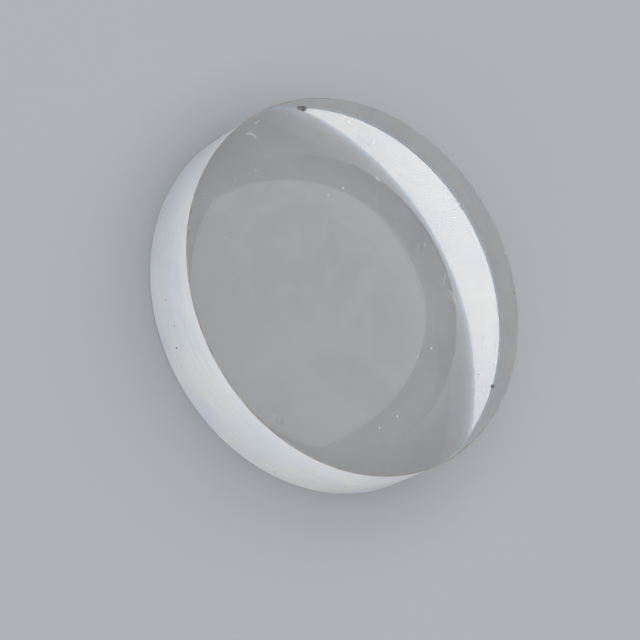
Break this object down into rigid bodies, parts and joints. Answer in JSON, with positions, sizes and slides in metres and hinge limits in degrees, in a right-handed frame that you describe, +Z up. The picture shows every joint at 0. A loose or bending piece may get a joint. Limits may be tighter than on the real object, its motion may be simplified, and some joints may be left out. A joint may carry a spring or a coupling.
{
  "type": "semi-finished lens blank",
  "caption": "Round meniscus blank of clear glass with a ground cylindrical edge, one weakly convex and one strongly concave face, and small chips on both rims.",
  "frame": {"origin": "centre of the ring on which the blank rests, the rim of its concave face", "axes": "+Z up along the optical axis, towards the convex face; X and Y are free, and the picture's camera looks along +Y"},
  "size_m": [0.065, 0.065, 0.0146],
  "materials": {
    "crown_glass": "clear polished faces, fine-ground frosted white edge"
  },
  "bodies": {
    "root": {"lens_blank": "crown_glass"}
  },
  "joints": []
}
